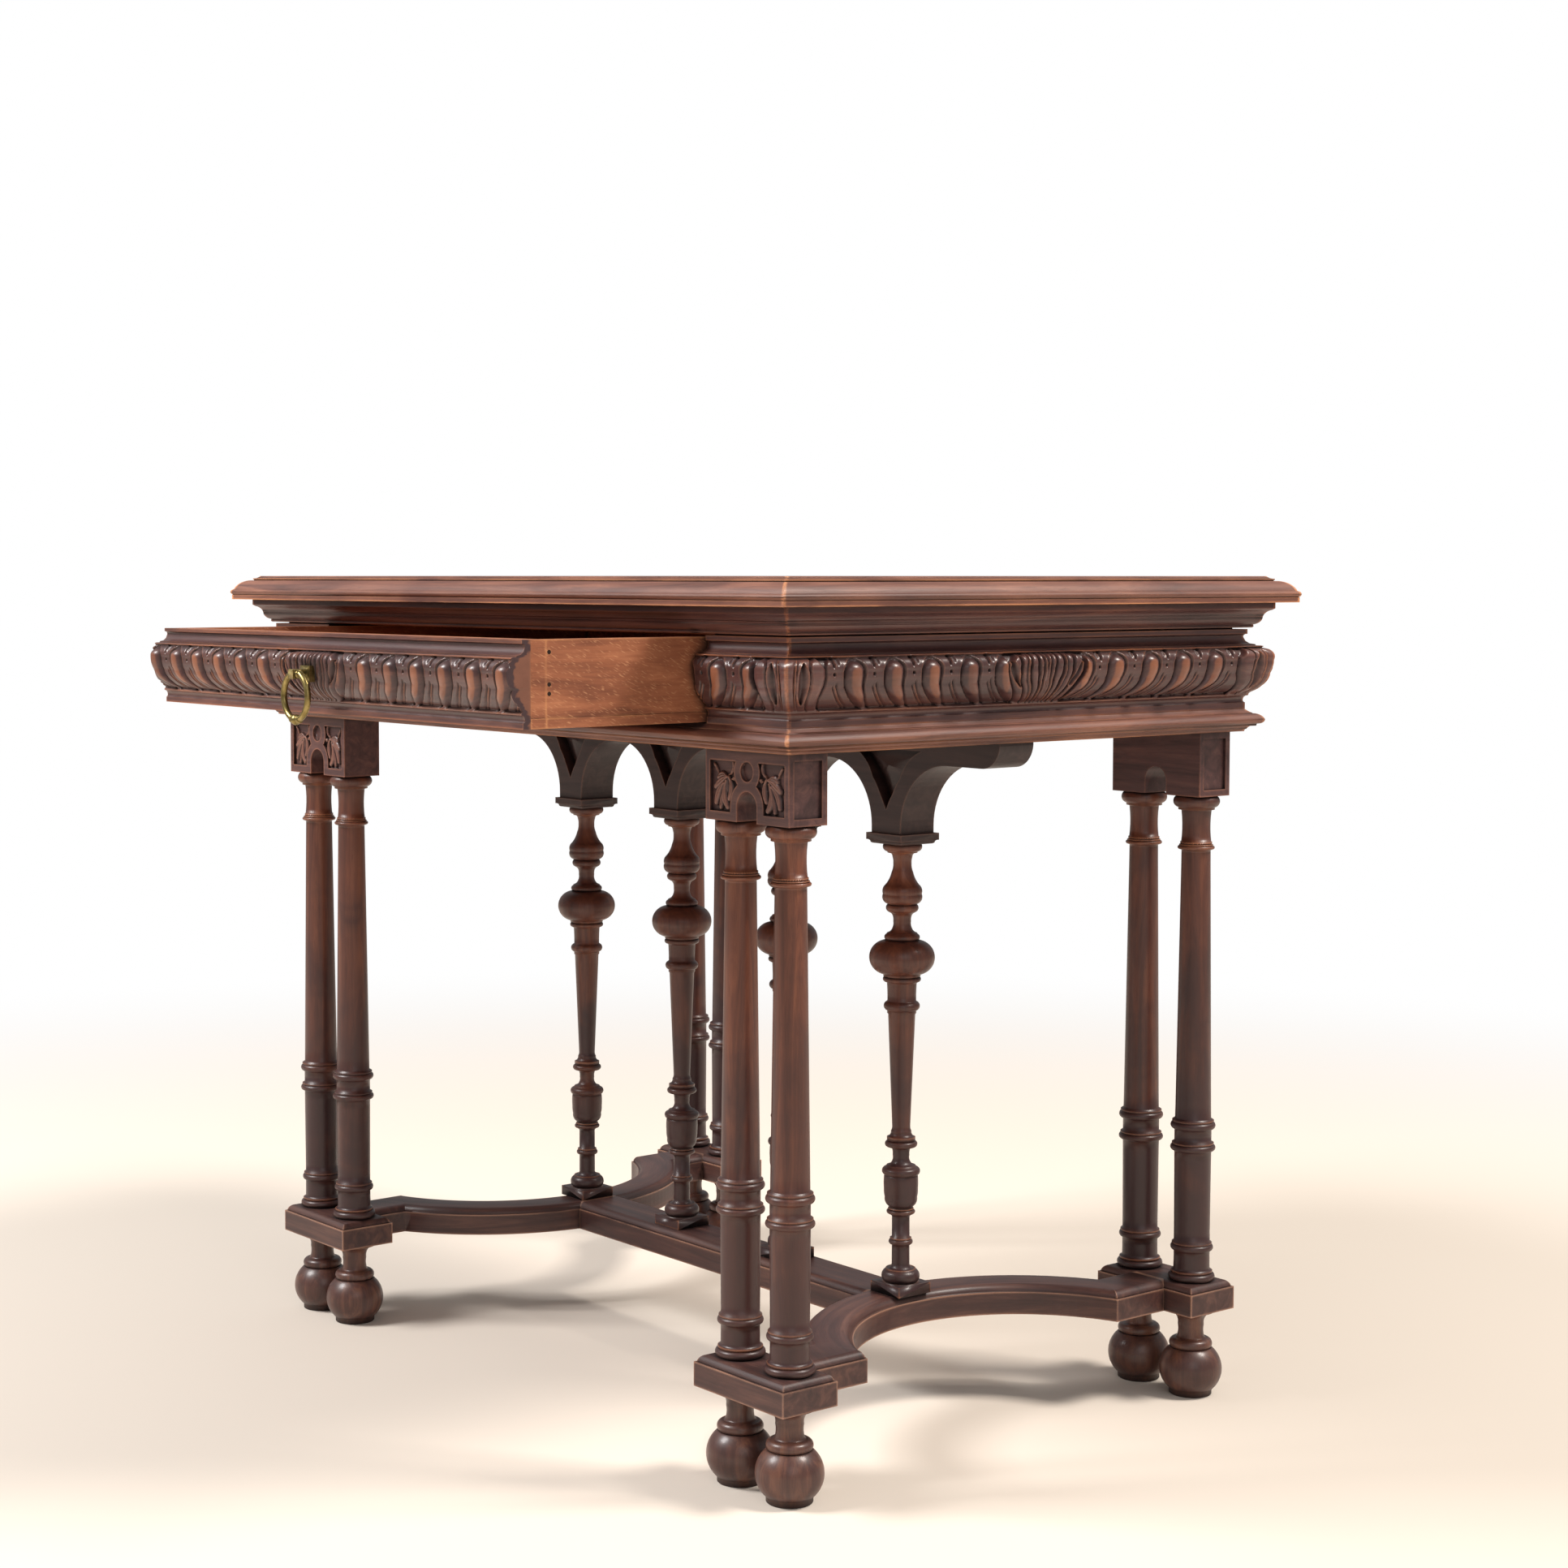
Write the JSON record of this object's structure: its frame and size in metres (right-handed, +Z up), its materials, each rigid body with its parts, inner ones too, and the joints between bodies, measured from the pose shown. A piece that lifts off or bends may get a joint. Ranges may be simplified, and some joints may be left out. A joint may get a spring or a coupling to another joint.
{
  "type": "writing desk",
  "caption": "Small walnut writing desk with a moulded top, carved frieze drawer, paired turned columns, curved stretchers and a baluster arcade.",
  "frame": {"origin": "the middle of the desk top's upper face, the surface that things are set on; the floor is at z = -0.75 m", "axes": "+X along the desk's length, +Y to the back, so the drawer opens towards -Y, +Z up"},
  "size_m": [0.878, 0.7867, 0.75],
  "materials": {
    "walnut": "satin waxed dark walnut",
    "oak": "dry unpolished oak",
    "brass": "aged brass",
    "iron": "dull iron"
  },
  "bodies": {
    "desk": {"arcade_beam": "walnut", "arcade_capitals": "walnut", "baluster_1": "walnut", "baluster_2": "walnut", "baluster_3": "walnut", "baluster_4": "walnut", "base_mould_front": "walnut", "base_mould_left": "walnut", "base_mould_rear": "walnut", "base_mould_right": "walnut", "centre_stretcher": "walnut", "column_front_left_inner": "walnut", "column_front_left_outer": "walnut", "column_front_right_inner": "walnut", "column_front_right_outer": "walnut", "column_rear_left_inner": "walnut", "column_rear_left_outer": "walnut", "column_rear_right_inner": "walnut", "column_rear_right_outer": "walnut", "corner_block_front_left": "walnut", "corner_block_front_right": "walnut", "corner_block_rear_left": "walnut", "corner_block_rear_right": "walnut", "cornice_front": "walnut", "cornice_left": "walnut", "cornice_rear": "walnut", "cornice_right": "walnut", "drawer_guides": "oak", "drawer_runners": "oak", "drawer_stops": "oak", "feet_front_left": "walnut", "feet_front_right": "walnut", "feet_rear_left": "walnut", "feet_rear_right": "walnut", "frieze_left": "walnut", "frieze_rear": "walnut", "frieze_right": "walnut", "frieze_stile_left": "walnut", "frieze_stile_right": "walnut", "kicker_rail": "oak", "plinth_front_left": "walnut", "plinth_front_right": "walnut", "plinth_rear_left": "walnut", "plinth_rear_right": "walnut", "top_frame_front": "walnut", "top_frame_left": "walnut", "top_frame_rear": "walnut", "top_frame_right": "walnut", "top_panel": "walnut", "yoke_left": "walnut", "yoke_right": "walnut"},
    "drawer": {"drawer_back": "oak", "drawer_bottom": "oak", "drawer_front": "walnut", "drawer_lining": "oak", "drawer_nails": "iron", "drawer_side_left": "oak", "drawer_side_right": "oak", "pull_boss": "brass"},
    "pull": {"pull_ring": "brass"}
  },
  "joints": [
    {"name": "drawer_slide", "type": "slide", "parent": "desk", "child": "drawer", "axis": [0, -1, 0], "range_m": [-0.1789, 0.14]},
    {"name": "pull_hinge", "type": "hinge", "parent": "drawer", "child": "pull", "pos_m": [0, -0.4782, -0.0832], "axis": [-1, 0, 0], "range_deg": [-8, 100]}
  ]
}
